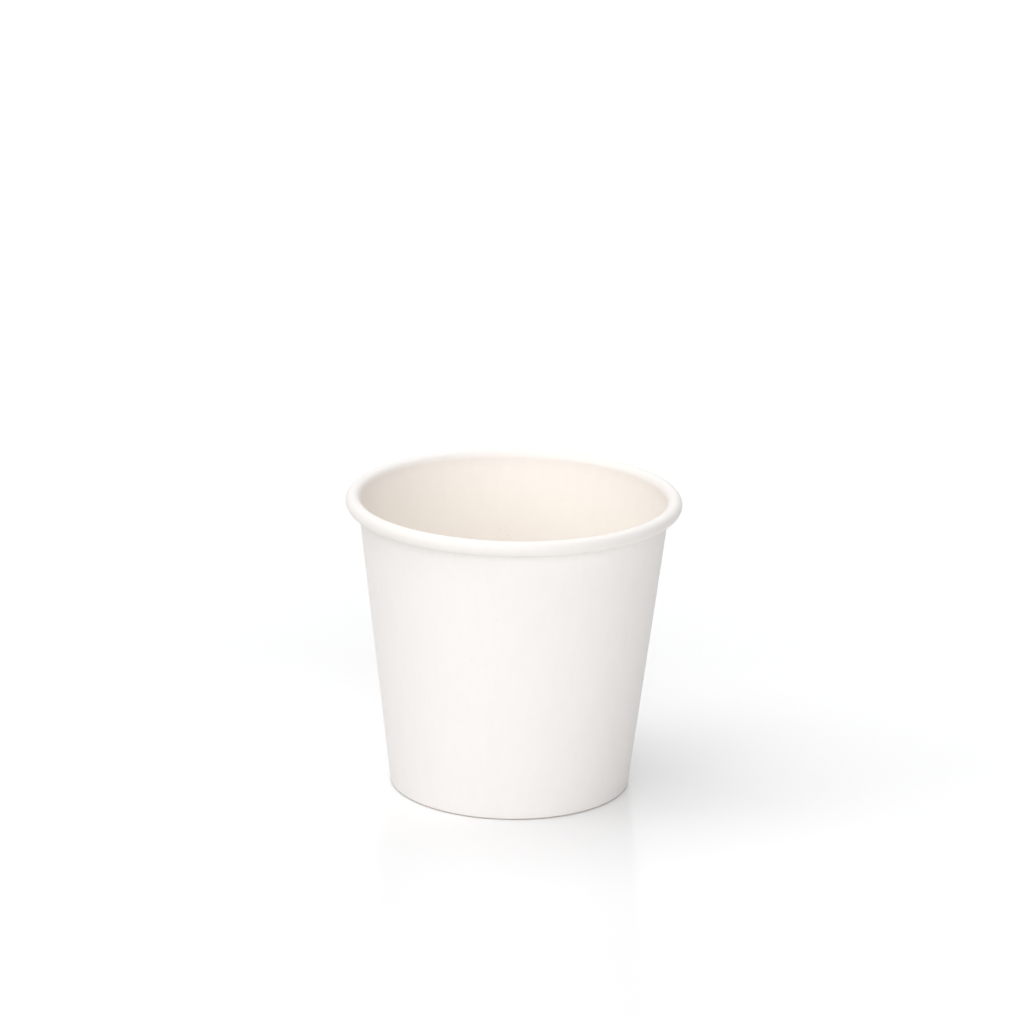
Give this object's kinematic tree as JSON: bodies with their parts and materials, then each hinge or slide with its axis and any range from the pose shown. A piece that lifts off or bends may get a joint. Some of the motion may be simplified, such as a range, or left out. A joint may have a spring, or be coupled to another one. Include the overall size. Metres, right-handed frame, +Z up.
{
  "type": "paper coffee cup",
  "caption": "Small tapered cup of coated paper board with a rolled rim, a lapped side seam and a recessed base disc folded into the foot.",
  "frame": {"origin": "centre of the foot, on the surface that the cup stands on", "axes": "+Z up along the cup's axis, towards the rolled rim. The side seam lies at 170 degrees from +X towards +Y, on the side away from the picture's view, which looks along +Y"},
  "size_m": [0.062, 0.062, 0.0556],
  "materials": {
    "outer_board": "matte",
    "inner_coating": "satin"
  },
  "bodies": {
    "root": {"side_wall": "outer_board", "bottom_disc": "inner_coating"}
  },
  "joints": []
}
